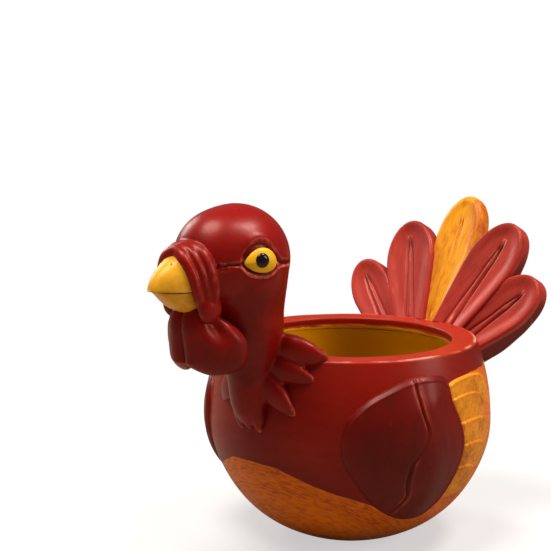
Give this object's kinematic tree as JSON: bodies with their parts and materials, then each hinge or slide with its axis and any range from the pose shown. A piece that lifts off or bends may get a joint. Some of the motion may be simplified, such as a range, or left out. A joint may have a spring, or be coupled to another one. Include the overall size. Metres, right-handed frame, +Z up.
{
  "type": "turkey figure candy bowl",
  "caption": "Turkey-shaped table bowl: round pot with a bird's head and neck in front, wings and flank scales at the sides and a fan of tail feathers behind.",
  "frame": {"origin": "centre of the flat foot under the pot, on the pot's own axis", "axes": "the bird faces -Y, its left side is +X, and +Z is up"},
  "size_m": [0.1516, 0.2452, 0.1793],
  "materials": {
    "body_red": "satin hand-painted resin, deep red with rust-red worn areas",
    "head_red": "satin hand-painted resin, bright red with soft highlights",
    "belly_orange": "satin paint, orange with darker brush streaks",
    "scale_yellow": "satin paint, yellow-orange with brown brush streaks",
    "lining_ochre": "satin ochre paint",
    "beak_yellow": "satin yellow paint shading to amber below",
    "eye_yellow": "gloss yellow paint",
    "pupil_black": "gloss black paint",
    "feather_red": "satin red paint with pinkish dry-brushed ridges",
    "feather_yellow": "satin orange-yellow paint with darker streaks"
  },
  "bodies": {
    "root": {"bowl_shell": "body_red", "belly_shell": "belly_orange", "bowl_lining": "lining_ochre", "head_and_neck": "head_red", "upper_beak": "beak_yellow", "lower_beak": "beak_yellow", "beak_cowl": "head_red", "left_jowl": "head_red", "right_jowl": "head_red", "left_wattle": "head_red", "right_wattle": "head_red", "left_eye": "eye_yellow", "right_eye": "eye_yellow", "left_pupil": "pupil_black", "right_pupil": "pupil_black", "left_brow": "head_red", "right_brow": "head_red", "left_eyelid": "head_red", "right_eyelid": "head_red", "left_wing_shoulder": "body_red", "right_wing_shoulder": "body_red", "left_wing_rear": "body_red", "right_wing_rear": "body_red", "left_scale_1": "scale_yellow", "right_scale_1": "scale_yellow", "left_scale_2": "scale_yellow", "right_scale_2": "scale_yellow", "left_scale_3": "scale_yellow", "right_scale_3": "scale_yellow", "left_scale_4": "scale_yellow", "right_scale_4": "scale_yellow", "left_scale_5": "scale_yellow", "right_scale_5": "scale_yellow", "left_tuft_1": "body_red", "right_tuft_1": "body_red", "left_tuft_2": "body_red", "right_tuft_2": "body_red", "left_tuft_3": "body_red", "right_tuft_3": "body_red", "left_tuft_4": "body_red", "right_tuft_4": "body_red", "tail_feather_1": "feather_red", "tail_feather_2": "feather_red", "tail_feather_3": "feather_yellow", "tail_feather_4": "feather_red", "tail_feather_5": "feather_red", "tail_root": "body_red"}
  },
  "joints": []
}
